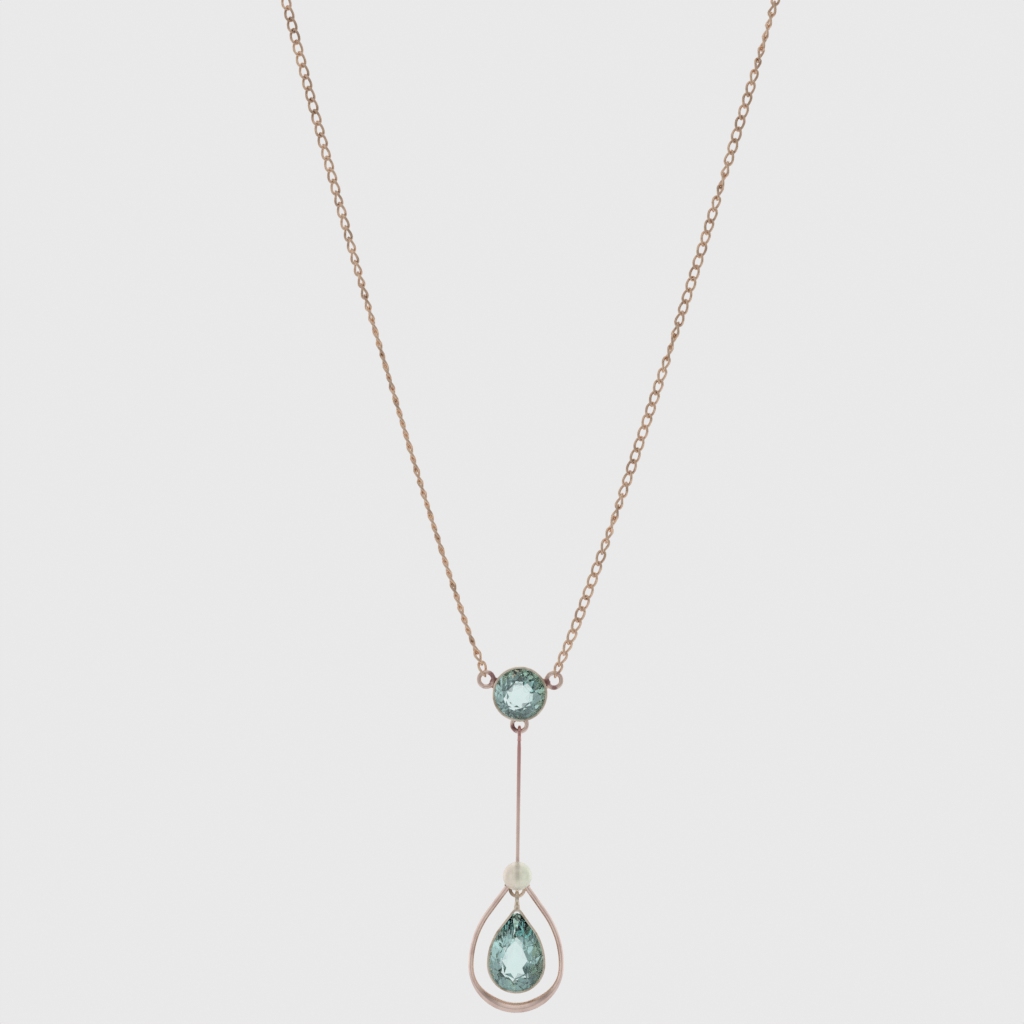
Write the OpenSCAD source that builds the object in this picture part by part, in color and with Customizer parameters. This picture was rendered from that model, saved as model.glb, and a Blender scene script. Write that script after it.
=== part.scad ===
// Y necklace: a fine curb chain, a round stone in a collet, a knife-edge bar, a pearl, and a
// pear-shaped frame in which a pear-shaped stone swings.
// Millimetres. X runs to the viewer's right, Z runs up, and the front faces -Y.
// The origin is the middle of the neck hollow, level with the clasp at the nape.

/* [Neck loop] */
// How far the round stone's centre hangs below the clasp
drop_height = 125; // [124:0.5:126]
// How far the pendant hangs in front of the middle of the neck
front_reach = 48; // [47.5:0.1:48.5]
// How far the clasp lies behind the middle of the neck
back_reach = 48; // [47:0.5:49]
// Outside width of the curb chain
chain_w = 1.1; // [1:0.05:1.2]

/* [Links and clasp] */
// Wire thickness of an end link
link_wire = 0.3; // [0.25:0.01:0.32]
// Outside length of an end link
link_length = 2; // [1.95:0.05:2.2]
// Outside width of an end link
link_width = 1.3; // [1.25:0.05:1.4]
// Outside diameter of a tag ring at the clasp
tag_d = 2.2; // [2.15:0.05:2.4]
// Wire thickness of a tag ring
tag_wire = 0.4; // [0.35:0.01:0.42]
// Outside diameter of the bolt ring clasp
clasp_d = 6; // [5.5:0.1:6.5]
// Thickness of the bolt ring's tube
clasp_tube = 1.05; // [0.9:0.05:1.1]

/* [Round stone and collet] */
// Outside diameter of the round collet at the girdle
collet_d = 6.06; // [5.9:0.02:6.2]
// Thickness of the collet's rim over the stone
rim = 0.23; // [0.2:0.01:0.25]
// Depth of the collet behind the girdle
collet_back = 2.3; // [2.2:0.1:2.5]
// Wire thickness of the rings soldered to the collet
ring_wire = 0.5; // [0.42:0.02:0.52]
// Hole diameter of those rings
ring_hole = 1.1; // [1.06:0.02:1.2]
// Distance from the stone's centre to the centre of an ear ring
ear_reach = 4.02; // [3.95:0.01:4.05]
// Angle of the ear rings above the level of the stone
ear_angle = 22; // [18:1:26]
// How far the lower ring's centre hangs below the stone's centre
lower_ring_drop = 3.38; // [3.3:0.02:3.45]

/* [Bar and pearl] */
// Width of the knife-edge bar
bar_w = 0.42; // [0.38:0.02:0.5]
// Depth of the bar and of the pear frame, from back to knife edge
blade_depth = 0.8; // [0.7:0.05:0.9]
// Diameter of the pearl
pearl_d = 3.15; // [3:0.05:3.3]
// How far the pearl's centre hangs below the round stone's centre
pearl_drop = 19.86; // [19.8:0.02:20]

/* [Pear frame] */
// Outside width of the pear frame
frame_w = 10.5; // [10.3:0.1:10.8]
// Radius of the frame's flanks
frame_flank_r = 10.1; // [10:0.1:10.4]
// Slope of the frame's shoulders from the vertical
frame_slope = 36; // [35:0.5:37]
// Width of the frame's metal at the flanks
frame_metal = 0.56; // [0.5:0.02:0.6]
// Width of the frame's metal at the foot, where it swells to a crescent
frame_foot_metal = 1.06; // [0.9:0.02:1.1]

/* [Pear stone and collet] */
// Outside width of the pear collet
pear_w = 6.44; // [6.3:0.02:6.5]
// Radius of the pear collet's flanks
pear_flank_r = 6.65; // [6.6:0.05:6.8]
// Slope of the pear collet's shoulders from the vertical
pear_slope = 37; // [36.5:0.5:38]
// How far the middle of the pear's belly hangs below the round stone's centre
pear_drop = 29.62; // [29.6:0.02:29.7]

/* [Hidden] */

GOLD = [0.80, 0.60, 0.45];
CHAIN_GOLD = [0.82, 0.62, 0.42];
AQUA = [0.55, 0.74, 0.72];
NACRE = [0.85, 0.84, 0.78];

// Running gap between two pieces that hang in each other, and gap between a tube and its link
play = 0.06;
tube_gap = 0.1;
// Solder necks of the ear rings, and the solder bead between the pear collet and its eye
neck_r = 0.2;
neck_in = 0.15;
bead_r = 0.32;
// Facets of a large round and of a wire
round_fn = 96;
wire_fn = 32;

// Route of one side of the chain. FRONT holds [x, height above the round stone's centre] of
// the straight fall at the front, and NECK holds [x, y, z] round the shoulder and the nape.
FRONT = [[6.2, 8], [10.3, 20], [14.1, 32], [17.8, 44], [21.3, 56], [24.7, 68]];
NECK = [[28, -47, -45], [31.5, -44.5, -33], [35.2, -39, -21], [38.8, -29.5, -11],
    [41.3, -16, -4.5], [42, 0, -1], [40, 16, 0], [34, 30.5, 0], [24, 41, 0], [12, 46.7, 0]];
RINGS_A_SPAN = 2;
TUBE_SIDES = 8;
// How far an end link leans outwards from the vertical
link_lean = 18;

// Soldered rings of the collet
ring_r = (ring_hole + ring_wire) / 2;
ear_x = ear_reach * cos(ear_angle);
ear_z = ear_reach * sin(ear_angle);
collet_r = collet_d / 2;

// Eye of the bar, which hangs in the collet's lower ring
eye_wire = 0.38;
eye_r = 0.72;
swing_drop = lower_ring_drop + ring_r;
eye_drop = swing_drop - (ring_wire + eye_wire) / 2 - play + eye_r;

// Pear frame, with the small ring soldered inside its shoulders
frame_drop = 29.87;
frame_tip_r = 1;
inner_ring_wire = 0.38;
inner_ring_r = 0.755;
inner_ring_drop = 21.54;
// Angles up from the bottom of the frame where its crescent starts and where it is full
foot_start = 78;
foot_full = 22;
// Knife edge: where its bevels start, which is higher inside the flanks, and the ridge's place
// across the frame's metal
blade_back = -blade_depth / 2;
blade_shoulder = 0.05;
flank_inner_shoulder = 0.2;
ridge_share = 0.42;
// Pearl, its cup and its peg
pearl_r = pearl_d / 2;
pearl_front = 1.83;
cup_r = 1.1;
cup_front = 0.55;
peg_r = 0.25;
peg_gap = 0.03;

// Eye of the pear collet, which hangs in the frame's small ring
pear_eye_wire = 0.45;
pear_eye_r = 0.62;
pear_swing_drop = inner_ring_drop + inner_ring_r;
pear_eye_drop = pear_swing_drop - (inner_ring_wire + pear_eye_wire) / 2 - play + pear_eye_r;
pear_tip_r = 0.6;
pear_back = 2.6;

// Collet walls: heights in front of the middle of the rings, from the rim to the seat, and how
// far the wall draws in at its back
rim_front = 1.2;
rim_edge = 1.14;
rim_shoulder = 1.12;
rim_under = 1;
groove_front = 0.95;
groove_back = 0.76;
seat_front = 0.62;
taper_start = 0.5;
groove_depth = 0.09;
seat_in = 0.04;
back_in = 0.27;
back_wall = 0.26;

// Cut of the stones: the crown stands in front of the girdle and the pavilion behind it. The
// pavilion is steep from the girdle to a tier of corners, and nearly flat from there to the
// culet, so that one can see through its middle. Shares are of the girdle's size.
girdle_in = rim - seat_in;
girdle_front = 0.9;
girdle_t = 0.1;
seat_gap = 0.05;
MAINS = 8;
crown_h = 0.95;
table_share = 0.54;
star_share = 0.8;
tier_share = 0.48;
culet_share = 0.3;
culet_bow = 0.55;
culet_slope = 24;
// Slope of the steep facets, and the culet's place, a little off the middle as cut by hand
round_slope = 45;
round_culet = [-0.3, -0.45];
round_turn = 8;
pear_stone_slope = 49;
pear_stone_centre = [0, 0.2];
pear_culet = [-0.2, -0.3];
tier_follow = 0.8;
// Pear stone: its blunt tip, and the angles of its girdle corners
stone_tip_r = 0.9;
BELLY_CORNERS = [-90, -65, -40, -15];
FLANK_CORNERS = [10, 25, pear_slope];
TIP_CORNERS = [60, 90];

// End links at the ears, tag rings at the clasp
link_span = (link_length - link_wire) / 2;
ear_link_reach = ring_r - (ring_wire + link_wire) / 2 - play + link_span;
clasp_r = (clasp_d - clasp_tube) / 2;
clasp_eye_wire = 0.4;
clasp_eye_r = 0.7;
clasp_eye_reach = clasp_d / 2 + clasp_eye_r;
tag_r = (tag_d - tag_wire) / 2;
clasp_left = clasp_eye_reach + clasp_eye_r - (clasp_eye_wire + tag_wire) / 2 - play + tag_r;
clasp_right = clasp_r - (clasp_tube + tag_wire) / 2 - play + tag_r;
clasp_x = (clasp_left - clasp_right) / 2;
tag_x = (clasp_left + clasp_right) / 2;

// A torus about Z
module ring(r, wire)
    rotate_extrude($fn = round_fn) translate([r, 0]) circle(d = wire, $fn = wire_fn);

// The pendant's own frame: x right, y up, z towards the viewer, 0 at the round stone's centre
module hung() translate([0, -front_reach, -drop_height]) rotate([90, 0, 0]) children();

// An oval link that lies along X in the XZ plane
module link() {
    bow_r = (link_width - link_wire) / 2;
    straight = (link_length - link_width) / 2;
    for (side = [0, 180])
        rotate([90, 0, side])
            translate([straight, 0, 0])
                rotate([0, 0, -90])
                    rotate_extrude(angle = 180, $fn = round_fn)
                        translate([bow_r, 0]) circle(d = link_wire, $fn = wire_fn);
    for (side = [-1, 1])
        translate([-straight, 0, side * bow_r])
            rotate([0, 90, 0]) cylinder(d = link_wire, h = 2 * straight, $fn = wire_fn);
}

// A pear outline is four arcs and two straights. Each station is [x, y, normal angle], for the
// right half from foot to tip; the straight lies between the flank's end and the tip's start.
function flank_x(b, r, slope) = b - r * (1 - cos(slope));
function sharp_tip(b, r, slope) = r * sin(slope) + flank_x(b, r, slope) / tan(slope);
function tip_centre(b, r, slope, tip) = sharp_tip(b, r, slope) - tip / sin(slope);
function belly_at(b, a) = [b * cos(a), b * sin(a), a];
function flank_at(b, r, a) = [b - r + r * cos(a), r * sin(a), a];
function tip_at(b, r, slope, tip, a) =
    [tip * cos(a), tip_centre(b, r, slope, tip) + tip * sin(a), a];
function half_pear(b, r, slope, tip, n) = concat(
    [for (i = [0:2 * n - 1]) belly_at(b, -90 + 45 * i / n)],
    [for (i = [0:n - 1]) flank_at(b, r, slope * i / (n - 1))],
    [for (i = [0:n / 2]) tip_at(b, r, slope, tip, slope + (90 - slope) * 2 * i / n)]);
function mirrored(half) =
    [for (i = [len(half) - 2:-1:1]) [-half[i][0], half[i][1], 180 - half[i][2]]];
function pear(b, r, slope, tip, n = 12) =
    let(half = half_pear(b, r, slope, tip, n)) concat(half, mirrored(half));
function inset(s, d) = [s[0] - d * cos(s[2]), s[1] - d * sin(s[2])];

// A closed band swept round stations. section_at holds one section a station, each a list of
// [inset, z] corners taken the same way round.
module band(stations, section_at) {
    count = len(stations);
    sides = len(section_at[0]);
    points = [for (i = [0:count - 1]) for (p = section_at[i])
        let(q = inset(stations[i], p[0])) [q[0], q[1], p[1]]];
    faces = [for (i = [0:count - 1]) for (k = [0:sides - 1])
        let(j = (i + 1) % count, m = (k + 1) % sides)
        each [[i * sides + k, i * sides + m, j * sides + m],
            [i * sides + k, j * sides + m, j * sides + k]]];
    polyhedron(points = points, faces = faces);
}

// Width of the frame's metal at a station: it swells towards the foot
function from_foot(angle) = abs(angle + 90 - (angle > 180 ? 360 : 0));
function ease(t) = t * t * (3 - 2 * t);
function foot_swell(angle) =
    ease(min(1, max(0, (foot_start - from_foot(angle)) / (foot_start - foot_full))));
function metal_at(angle) = frame_metal + (frame_foot_metal - frame_metal) * foot_swell(angle);
function inner_shoulder(w) = blade_shoulder
    + (flank_inner_shoulder - blade_shoulder) * (frame_foot_metal - w) / (frame_foot_metal - frame_metal);
function blade_section(w) = [[0, blade_back], [0, blade_shoulder],
    [ridge_share * w, -blade_back], [w, inner_shoulder(w)], [w, blade_back]];

// Facet corners of a cut stone on an outline of 2 * MAINS girdle points, taken round from one
// main: table, star, girdle, tier and culet ring, and the culet. r is the girdle's half width.
function shrink(p, c, k) = [c[0] + k * (p[0] - c[0]), c[1] + k * (p[1] - c[1])];
function at(p, z) = [p[0], p[1], z];
kite_share = (1 - star_share * cos(180 / MAINS)) / (1 - table_share);
function stone_points(outline, c, r, slope, culet) =
    let(back = girdle_front - girdle_t, off = culet - c,
        tier = back - r * (1 - tier_share) * tan(slope),
        depth = r * tier_share * tan(culet_slope))
    concat(
        [for (i = [0:MAINS - 1])
            at(shrink(outline[2 * i], c, table_share), girdle_front + crown_h)],
        [for (i = [0:MAINS - 1])
            at(shrink(outline[2 * i + 1], c, star_share), girdle_front + crown_h * kite_share)],
        [for (p = outline) at(p, girdle_front)],
        [for (p = outline) at(p, back)],
        [for (i = [0:MAINS - 1])
            at(shrink(outline[2 * i], c, tier_share) + tier_follow * off, tier)],
        [for (i = [0:MAINS - 1])
            at(shrink(outline[2 * i + 1], c, culet_share) + off, tier - culet_bow * depth)],
        [at(culet, tier - depth)]);
function pear_stone_half(b, r) = concat(
    [for (a = BELLY_CORNERS) belly_at(b, a)],
    [for (a = FLANK_CORNERS) flank_at(b, r, a)],
    [for (a = TIP_CORNERS) tip_at(b, r, pear_slope, stone_tip_r, a)]);
module cut_stone(outline, c, r, slope, culet) {
    points = stone_points(outline, c, r, slope, culet);
    hull() polyhedron(points = points, faces = [[for (i = [0:len(points) - 1]) i]]);
}

// Section of a collet's wall as [inset from the outline, z]: outside up to the rim, then down
// the inside past the groove for the girdle and the seat. The rim is its sixth corner.
RIM_CORNER = 5;
function collet_section(back) = [[back_in, girdle_front - back], [0.03, taper_start],
    [0, girdle_front], [0.05, rim_shoulder], [0.15, rim_front], [rim, rim_edge],
    [rim, rim_under], [rim - groove_depth, groove_front], [rim - groove_depth, groove_back],
    [rim + seat_in, seat_front], [rim + back_wall, girdle_front - back]];

// Smooth curve through points, and a tube of eight sides swept along it
function blend_at(p, i, t) =
    let(a = p[max(i - 1, 0)], b = p[i], c = p[i + 1], d = p[min(i + 2, len(p) - 1)])
    (2 * b + (c - a) * t + (2 * a - 5 * b + 4 * c - d) * t * t
        + (3 * b - a - 3 * c + d) * t * t * t) / 2;
function curve(p) = concat([for (i = [0:len(p) - 2]) for (k = [0:RINGS_A_SPAN - 1])
    blend_at(p, i, k / RINGS_A_SPAN)], [p[len(p) - 1]]);
function unit(v) = v / norm(v);
module tube(route, d) {
    line = curve(route);
    last = len(line) - 1;
    points = [for (i = [0:last])
        let(along = unit(line[min(i + 1, last)] - line[max(i - 1, 0)]),
            side = unit(cross(along, [1, 1, 0])), up = cross(along, side))
        for (k = [0:TUBE_SIDES - 1])
            line[i] + d / 2 * (side * cos(360 * k / TUBE_SIDES) + up * sin(360 * k / TUBE_SIDES))];
    walls = [for (i = [0:last - 1]) for (k = [0:TUBE_SIDES - 1])
        let(m = (k + 1) % TUBE_SIDES, a = i * TUBE_SIDES, b = a + TUBE_SIDES)
        each [[a + k, b + k, b + m], [a + k, b + m, a + m]]];
    ends = [[for (k = [0:TUBE_SIDES - 1]) k],
        [for (k = [TUBE_SIDES - 1:-1:0]) last * TUBE_SIDES + k]];
    polyhedron(points = points, faces = concat(walls, ends));
}

// One end of each end link hangs in an ear ring, and the chain takes over at its other end
function ear_point(reach) = [ear_x + reach * sin(link_lean), ear_z + reach * cos(link_lean)];
chain_start = ear_point(ear_link_reach + link_length / 2 + tube_gap);
chain_route = concat([[chain_start[0], -front_reach, chain_start[1] - drop_height]],
    [for (p = FRONT) [p[0], -front_reach, p[1] - drop_height]], NECK,
    [[tag_x + tag_d / 2 + tube_gap, back_reach, 0]]);
module chain_side() tube(chain_route, chain_w);
module front_link() {
    centre = ear_point(ear_link_reach);
    hung() translate([centre[0], centre[1], 0]) rotate([0, 0, 90 - link_lean]) link();
}
module tag_ring() translate([tag_x, back_reach, 0]) ring(tag_r, tag_wire);

// Round collet: a tapered wall, two ear rings and the lower ring soldered to it
module collet() {
    wall = [for (p = collet_section(collet_back)) [collet_r - p[0], p[1]]];
    last = len(wall) - 1;
    outside = concat([for (i = [0:RIM_CORNER]) wall[i]],
        [[0, wall[RIM_CORNER][1]], [0, wall[0][1]]]);
    inside = concat([for (i = [RIM_CORNER:last]) wall[i]],
        [[0, wall[last][1]], [0, wall[RIM_CORNER][1]]]);
    color(GOLD) hung() difference() {
        union() {
            rotate_extrude($fn = round_fn) polygon(outside);
            for (side = [-1, 1]) {
                translate([side * ear_x, ear_z, 0]) ring(ring_r, ring_wire);
                rotate([0, 0, 90 - side * (90 - ear_angle)])
                    translate([collet_r - neck_in - neck_r, 0, 0]) rotate([0, 90, 0])
                        cylinder(r = neck_r, h = neck_in + 2 * neck_r, $fn = wire_fn);
            }
            translate([0, -lower_ring_drop, 0]) ring(ring_r, ring_wire);
        }
        rotate_extrude($fn = round_fn) polygon(inside);
    }
}

// Round stone, cut with a table, eight mains and a girdle of sixteen sides
module round_stone() {
    girdle_r = collet_r - girdle_in;
    outline = [for (i = [0:2 * MAINS - 1])
        let(a = 180 * (i + 0.5) / MAINS + round_turn) girdle_r * [cos(a), sin(a)]];
    color(AQUA) hung() cut_stone(outline, [0, 0], girdle_r, round_slope, round_culet);
}

module link_front_left() color(CHAIN_GOLD) mirror([1, 0, 0]) front_link();
module link_front_right() color(CHAIN_GOLD) front_link();
module chain_left() color(CHAIN_GOLD) mirror([1, 0, 0]) chain_side();
module chain_right() color(CHAIN_GOLD) chain_side();
module tag_ring_left() color(CHAIN_GOLD) mirror([1, 0, 0]) tag_ring();
module tag_ring_right() color(CHAIN_GOLD) tag_ring();

// Bolt ring clasp: a ring, and the small eye that the left tag ring hangs in
module clasp() {
    color(CHAIN_GOLD) translate([clasp_x, back_reach, 0]) rotate([90, 0, 0]) {
        ring(clasp_r, clasp_tube);
        translate([-clasp_eye_reach, 0, 0]) ring(clasp_eye_r, clasp_eye_wire);
    }
}

// Drop: eye, knife-edge bar, pear frame, small inner ring, and the cup and peg for the pearl
module drop_frame() {
    stations = pear(frame_w / 2, frame_flank_r, frame_slope, frame_tip_r);
    bar_top = -eye_drop - eye_r;
    color(GOLD) hung() {
        difference() {
            union() {
                translate([0, -eye_drop, 0]) rotate([0, 90, 0]) ring(eye_r, eye_wire);
                translate([0, bar_top, 0]) rotate([90, 0, 0])
                    linear_extrude(pearl_drop + bar_top)
                        polygon([[-bar_w / 2, blade_back], [bar_w / 2, blade_back],
                            [bar_w / 2, blade_shoulder], [0, -blade_back],
                            [-bar_w / 2, blade_shoulder]]);
                translate([0, -frame_drop, 0])
                    band(stations, [for (s = stations) blade_section(metal_at(s[2]))]);
                translate([0, -inner_ring_drop, 0]) ring(inner_ring_r, inner_ring_wire);
                translate([0, -pearl_drop, blade_back])
                    cylinder(r = cup_r, h = cup_front - blade_back, $fn = round_fn);
            }
            translate([0, -pearl_drop, pearl_front]) sphere(pearl_r + seat_gap, $fn = round_fn);
        }
        translate([0, -pearl_drop, 0]) cylinder(r = peg_r, h = pearl_front, $fn = wire_fn);
    }
}

// Pearl, drilled from the back for the peg
module pearl() {
    color(NACRE) hung() translate([0, -pearl_drop, 0]) difference() {
        translate([0, 0, pearl_front]) sphere(pearl_r, $fn = round_fn);
        cylinder(r = peg_r + peg_gap, h = pearl_front + seat_gap, $fn = wire_fn);
    }
}

// Pear collet: a tapered wall and the eye that hangs in the frame's small ring
module pear_collet() {
    stations = pear(pear_w / 2, pear_flank_r, pear_slope, pear_tip_r);
    tip_y = tip_centre(pear_w / 2, pear_flank_r, pear_slope, pear_tip_r) + pear_tip_r - pear_drop;
    color(GOLD) hung() {
        translate([0, -pear_drop, 0])
            band(stations, [for (s = stations) collet_section(pear_back)]);
        translate([0, -pear_eye_drop, 0]) rotate([0, 90, 0]) ring(pear_eye_r, pear_eye_wire);
        translate([0, tip_y, 0]) sphere(bead_r, $fn = wire_fn);
    }
}

// Pear stone, cut as the round one on a pear outline with a blunt tip
module pear_stone() {
    b = pear_w / 2 - girdle_in;
    half = pear_stone_half(b, pear_flank_r - girdle_in);
    color(AQUA) hung() translate([0, -pear_drop, 0])
        cut_stone(concat(half, mirrored(half)), pear_stone_centre, b, pear_stone_slope,
            pear_culet);
}

collet();
round_stone();
link_front_left();
link_front_right();
chain_left();
chain_right();
tag_ring_left();
tag_ring_right();
clasp();
drop_frame();
pearl();
pear_collet();
pear_stone();
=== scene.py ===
# %% [markdown]
# # A Y necklace, dressed in Blender
#
# A necklace is small, and most of it is polished metal and clear stone, so it has hardly any
# colour of its own: what we see is the room in it. That decides how this lesson goes. We load the
# fixed model, set up the camera and a soft studio, and then make each piece with the roundings,
# solder and slight unevenness of hand work, because those catch the light.
#
# The fixed model holds every piece at its real place and size. A piece that the model shows well,
# such as a cut stone, could keep its solid. Wire and sheet need softer edges than a solid has, so
# they are made again here, on the same centre lines, and stand for the solid.

# %% Load the fixed model
import math

import bpy
import numpy as np
from mathutils import Matrix, Vector


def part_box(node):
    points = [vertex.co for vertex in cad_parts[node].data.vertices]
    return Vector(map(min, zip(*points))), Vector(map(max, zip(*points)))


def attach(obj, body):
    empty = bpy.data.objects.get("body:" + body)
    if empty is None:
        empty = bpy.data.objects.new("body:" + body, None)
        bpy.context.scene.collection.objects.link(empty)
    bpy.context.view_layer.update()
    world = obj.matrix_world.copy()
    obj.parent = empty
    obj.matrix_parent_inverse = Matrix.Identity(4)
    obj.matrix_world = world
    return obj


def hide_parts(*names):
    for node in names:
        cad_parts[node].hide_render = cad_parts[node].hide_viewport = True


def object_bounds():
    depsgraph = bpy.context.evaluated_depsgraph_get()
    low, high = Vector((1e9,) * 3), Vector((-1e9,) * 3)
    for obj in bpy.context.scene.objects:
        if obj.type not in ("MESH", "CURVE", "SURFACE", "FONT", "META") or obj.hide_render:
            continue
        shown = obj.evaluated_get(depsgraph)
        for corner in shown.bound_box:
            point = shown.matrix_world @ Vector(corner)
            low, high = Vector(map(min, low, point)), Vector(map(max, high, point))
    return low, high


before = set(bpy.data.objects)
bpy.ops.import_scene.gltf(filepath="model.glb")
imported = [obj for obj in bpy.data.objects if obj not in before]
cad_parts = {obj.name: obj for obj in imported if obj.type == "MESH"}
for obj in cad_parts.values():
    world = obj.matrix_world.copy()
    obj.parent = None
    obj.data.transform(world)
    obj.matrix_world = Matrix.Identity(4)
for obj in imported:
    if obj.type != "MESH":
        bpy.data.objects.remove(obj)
cad_low, cad_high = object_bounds()
print("solids:", sorted(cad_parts))

# %% [markdown]
# ## Two ways to say where something is
#
# The pendant hangs upright and faces the viewer, so its pieces are easiest to draw on a sheet of
# paper: x to the right, y up, z towards the viewer, in millimetres, from the middle of the round
# stone. Blender wants metres, with z up. One small function goes from the sheet to the room, and
# every drawn piece passes through it once.

# %% The drawing sheet
MM = 0.001
stone_low, stone_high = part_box("round_stone")
FRONT_Y = -48.0
STONE_Z = (stone_low.z + stone_high.z) / 2 / MM


def hang(points):
    """Sheet points [x, y, z] in millimetres to room points in metres."""
    p = np.asarray(points, float)
    return np.stack([p[..., 0], FRONT_Y - p[..., 2], STONE_Z + p[..., 1]], -1) * MM


print("round stone hangs at", [round(v, 3) for v in hang([0, 0, 0]) / MM], "mm")

# %% [markdown]
# ## The camera
#
# The picture was taken straight from the front with a long lens, which keeps a small thing free of
# distortion. A camera 313 mm away with a 100 mm lens sees a field of 112.6 mm, so one pixel of
# a picture 1024 wide is 0.11 mm. The necklace leans a little to the right at the top. Turning the
# camera is the honest way to get that, because the pieces themselves hang plumb.

# %% Camera
PIXEL_MM = 0.11
PICTURE_PX = 1024
LENS_MM = 100.0
SENSOR_MM = 36.0
LEAN_DEG = 0.8
STONE_PX = (519.9, 693.5)


def make_camera():
    field = PIXEL_MM * PICTURE_PX
    distance = field * LENS_MM / SENSOR_MM
    across = (STONE_PX[0] - PICTURE_PX / 2) * PIXEL_MM
    down = (STONE_PX[1] - PICTURE_PX / 2) * PIXEL_MM
    lean = math.radians(LEAN_DEG)
    aim_x = -(across * math.cos(lean) + down * math.sin(lean))
    aim_z = STONE_Z + down * math.cos(lean) - across * math.sin(lean)
    lens = bpy.data.cameras.new("camera")
    lens.lens = LENS_MM
    lens.sensor_width = SENSOR_MM
    lens.clip_start = 0.01
    lens.clip_end = 5
    camera = bpy.data.objects.new("camera", lens)
    bpy.context.scene.collection.objects.link(camera)
    camera.location = Vector((aim_x, FRONT_Y - distance, aim_z)) * MM
    camera.rotation_euler = (math.pi / 2, -lean, 0)
    bpy.context.scene.camera = camera
    print("camera is", round(distance, 1), "mm in front, field", round(field, 1), "mm")


make_camera()

# %% [markdown]
# ## The studio
#
# Jewellery is shot in a tent, and a polished thing shows that tent more than itself. A world
# shader can be the tent: a dark room plus one soft light for each wall. A photographer lights the
# stones and the metal with different cards, and takes care that one doesn't spoil the other. The
# Light Path node does the same here. Rays that leave a stone see one set of levels, rays that
# leave metal see another, and the camera and matt surfaces see the plain pale backdrop.
#
# For a stone the back wall is the brightest, because it shines through. What lies round the camera
# decides which facets look dark. Light runs round inside a stone many times before it comes out.
# With few bounces the deep facets turn black, and with many they lose their contrast, so the limit
# on bounces is part of the look.

# %% The tent
BACKDROP = (0.823, 0.817, 0.823, 1)
ROOM_GREY = 0.03
# Each light: direction, half width and soft edge in degrees, level in stones, level in metal
LIGHTS = {
    "back wall": ((0, 1, 0), 60, 30, 0.88, 0.36),
    "middle of the back wall": ((0, 1, 0), 40, 30, 0, 0.40),
    "ceiling": ((0, 0, 1), 30, 30, 0.32, 0.45),
    "table": ((0, 0, -1), 30, 30, 0.28, 0.36),
    "left wall": ((-1, 0, 0), 30, 30, 0.36, 0.42),
    "right wall": ((1, 0, 0), 30, 30, 0.28, 0.38),
    "above the camera": ((0, -1, 0.8), 18, 22, 0.06, 0.36),
    "below the camera": ((0, -1, -0.8), 18, 22, 0.58, 0.24),
    "left of the camera": ((-0.8, -1, 0), 18, 22, 0.18, 0.32),
    "right of the camera": ((0.8, -1, 0), 18, 22, 0.34, 0.26),
    "round the camera": ((0, -1, 0), 12, 14, 0.10, 0.24),
}
MOST_BOUNCES = 9


def new_node(tree, kind, **settings):
    """A shader node with some of its settings or inputs given by name."""
    node = tree.nodes.new(kind)
    for name, value in settings.items():
        if hasattr(node, name):
            setattr(node, name, value)
        else:
            node.inputs[name].default_value = value
    return node


def add_light(tree, where, direction, width, edge):
    """A soft round patch in one direction, 1 inside and 0 outside."""
    facing = new_node(tree, "ShaderNodeVectorMath", operation="DOT_PRODUCT")
    tree.links.new(where, facing.inputs[0])
    facing.inputs[1].default_value = Vector(direction).normalized()
    inside = new_node(tree, "ShaderNodeMapRange", interpolation_type="SMOOTHSTEP")
    tree.links.new(facing.outputs["Value"], inside.inputs["Value"])
    inside.inputs["From Min"].default_value = math.cos(math.radians(width + edge))
    inside.inputs["From Max"].default_value = math.cos(math.radians(width))
    return inside.outputs["Result"]


def add_up(tree, patches, levels):
    """The room's grey plus each patch times its level, as a background."""
    total = None
    for patch, level in zip(patches, levels):
        more = new_node(tree, "ShaderNodeMath", operation="MULTIPLY_ADD")
        tree.links.new(patch, more.inputs[0])
        more.inputs[1].default_value = level
        if total is None:
            more.inputs[2].default_value = ROOM_GREY
        else:
            tree.links.new(total, more.inputs[2])
        total = more.outputs[0]
    light = new_node(tree, "ShaderNodeBackground")
    tree.links.new(total, light.inputs["Color"])
    return light.outputs[0]


def make_tent():
    world = bpy.data.worlds.new("tent")
    bpy.context.scene.world = world
    world.use_nodes = True
    tree = world.node_tree
    tree.nodes.clear()
    where = new_node(tree, "ShaderNodeTexCoord").outputs["Generated"]
    patches = [add_light(tree, where, *light[:3]) for light in LIGHTS.values()]
    in_stones = add_up(tree, patches, [light[3] for light in LIGHTS.values()])
    in_metal = add_up(tree, patches, [light[4] for light in LIGHTS.values()])
    plain = new_node(tree, "ShaderNodeBackground", Color=BACKDROP).outputs[0]
    ray = new_node(tree, "ShaderNodeLightPath")
    seen = plain
    for kind, view in (("Is Glossy Ray", in_metal), ("Is Transmission Ray", in_stones)):
        choose = new_node(tree, "ShaderNodeMixShader")
        tree.links.new(ray.outputs[kind], choose.inputs["Fac"])
        tree.links.new(seen, choose.inputs[1])
        tree.links.new(view, choose.inputs[2])
        seen = choose.outputs[0]
    tree.links.new(seen, new_node(tree, "ShaderNodeOutputWorld").inputs["Surface"])
    world.cycles.sampling_method = "NONE"
    rays = bpy.context.scene.cycles
    rays.max_bounces = rays.transmission_bounces = rays.glossy_bounces = MOST_BOUNCES
    bpy.context.scene.view_settings.view_transform = "Standard"
    print("tent with lights:", ", ".join(LIGHTS))


make_tent()

# %% [markdown]
# ## The floor
#
# The necklace hangs, so the floor only has to be there, pale and plain, below the lowest point.
# It lies low enough to stay out of the front view, and isn't seen through the stones.

# %% Floor
FLOOR_DROP_MM = 75
FLOOR_R_MM = 240
FLOOR_CORNERS = 96


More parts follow.
